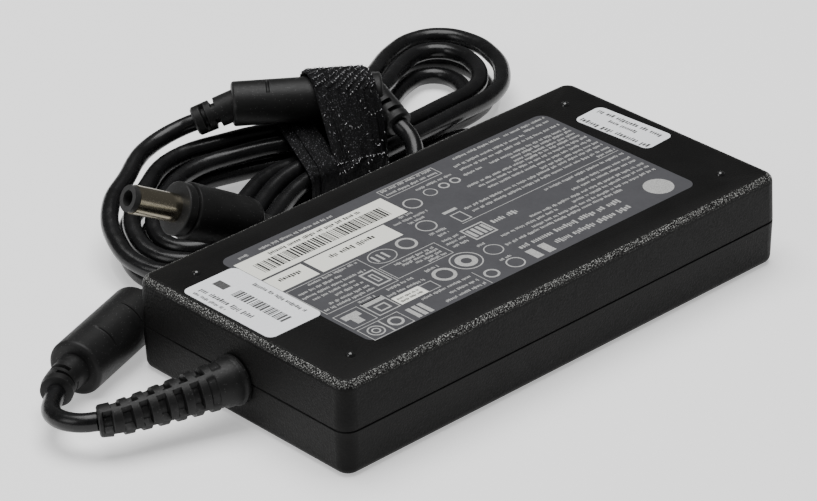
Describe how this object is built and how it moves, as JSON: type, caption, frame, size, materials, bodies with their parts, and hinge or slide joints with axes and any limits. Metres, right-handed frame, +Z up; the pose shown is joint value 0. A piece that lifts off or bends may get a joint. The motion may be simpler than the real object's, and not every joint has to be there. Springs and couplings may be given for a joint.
{
  "type": "laptop power adapter",
  "caption": "Slim black mains power adapter for a laptop, with its low-voltage lead wound in a hank and tied with a hook-and-loop strap.",
  "frame": {"origin": "middle of the housing's underside, on the surface it rests on", "axes": "+X along the housing to the mains inlet, +Y across it to the side where the wound lead lies, +Z up"},
  "size_m": [0.2139, 0.1494, 0.0385],
  "materials": {
    "shell": "fine spark grain",
    "foot": "glossy",
    "label": "printed film",
    "sticker": "printed, satin",
    "inlet_plastic": "satin",
    "contact": "plated",
    "copper": "enamelled wire",
    "board": "solder resist",
    "sheet": "film",
    "sink": "rolled",
    "ceramic_part": "glazed",
    "blue_part": "epoxy dipped",
    "film_part": "moulded box",
    "ferrite": "sintered",
    "can": "shrink sleeve",
    "chip": "moulded",
    "wire": "insulation",
    "overmould": "satin",
    "cord": "smooth and glossy",
    "barrel": "nickel plated",
    "tie": "hook-and-loop weave"
  },
  "bodies": {
    "root": {"top_shell": "shell", "bottom_shell": "shell", "rating_label": "label", "part_sticker_plate": "sticker", "test_sticker_plate": "sticker", "small_feet": "foot", "inlet_socket": "inlet_plastic", "inlet_pins": "contact", "inlet_leads": "copper", "circuit_board": "board", "insulating_sheet": "sheet", "heat_spreader": "sink", "fuse": "ceramic_part", "surge_thermistor": "ferrite", "filter_capacitor": "film_part", "line_choke_core": "ferrite", "line_choke_winding": "copper", "safety_capacitors": "blue_part", "bridge_rectifier": "chip", "primary_heatsink": "sink", "power_transistors": "chip", "boost_choke_core": "ferrite", "boost_choke_winding": "copper", "bulk_capacitor": "can", "transformer_core": "ferrite", "transformer_winding": "film_part", "control_chips": "chip", "output_heatsink": "sink", "output_rectifiers": "chip", "output_choke_core": "ferrite", "output_choke_winding": "copper", "output_capacitors": "can", "output_leads": "wire", "output_relief": "overmould", "cord_bend": "cord", "large_choke_case": "overmould", "large_choke_core": "ferrite", "cord_link": "cord", "cord_hank": "cord", "cord_tail": "cord", "small_choke_case": "overmould", "small_choke_core": "ferrite", "cord_end": "cord", "plug_grip": "overmould", "plug_barrel": "barrel", "plug_tip_ring": "overmould", "plug_centre_pin": "contact", "hook_and_loop_tie": "tie"}
  },
  "joints": []
}
